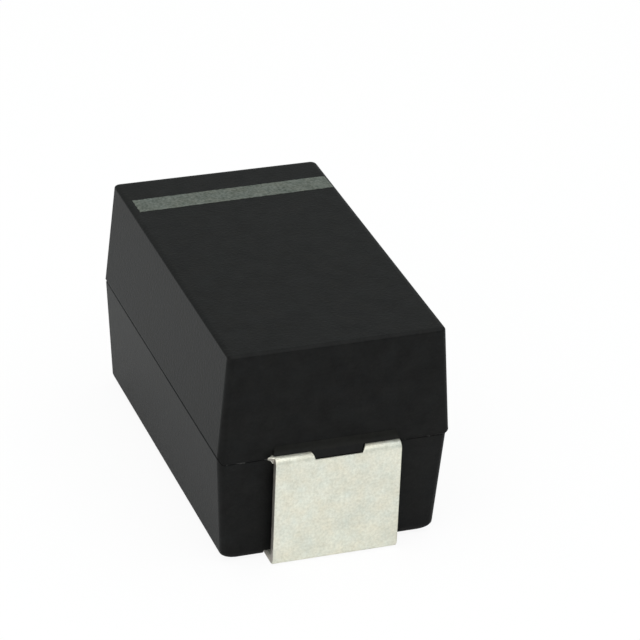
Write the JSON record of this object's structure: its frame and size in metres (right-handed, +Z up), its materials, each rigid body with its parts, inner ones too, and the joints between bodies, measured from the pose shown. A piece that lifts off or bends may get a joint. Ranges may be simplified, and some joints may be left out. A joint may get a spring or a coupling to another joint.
{
  "type": "aluminium polymer capacitor",
  "caption": "Moulded surface-mount capacitor: a black epoxy block with folded tinned terminals at both ends and a grey polarity bar on top.",
  "frame": {"origin": "middle of the footprint, on the board", "axes": "+X across the width, +Y along the length towards the anode end with the bar, +Z up from the board"},
  "size_m": [0.0042, 0.0074, 0.0041],
  "materials": {
    "epoxy": "matte moulded epoxy",
    "print": "matte grainy mark",
    "tinned_strip": "matte tin plating",
    "adhesive": "silver-filled",
    "foil": "etched matte",
    "jacket": "carbon and silver paint"
  },
  "bodies": {
    "root": {"moulded_case": "epoxy", "polarity_bar": "print", "cathode_terminal": "tinned_strip", "anode_terminal": "tinned_strip", "silver_adhesive": "adhesive", "anode_foil_1": "foil", "anode_foil_2": "foil", "anode_foil_3": "foil", "anode_foil_4": "foil", "anode_foil_5": "foil", "anode_foil_6": "foil", "anode_foil_7": "foil", "anode_foil_8": "foil", "cathode_coat_1": "jacket", "cathode_coat_2": "jacket", "cathode_coat_3": "jacket", "cathode_coat_4": "jacket", "cathode_coat_5": "jacket", "cathode_coat_6": "jacket", "cathode_coat_7": "jacket", "cathode_coat_8": "jacket"}
  },
  "joints": []
}
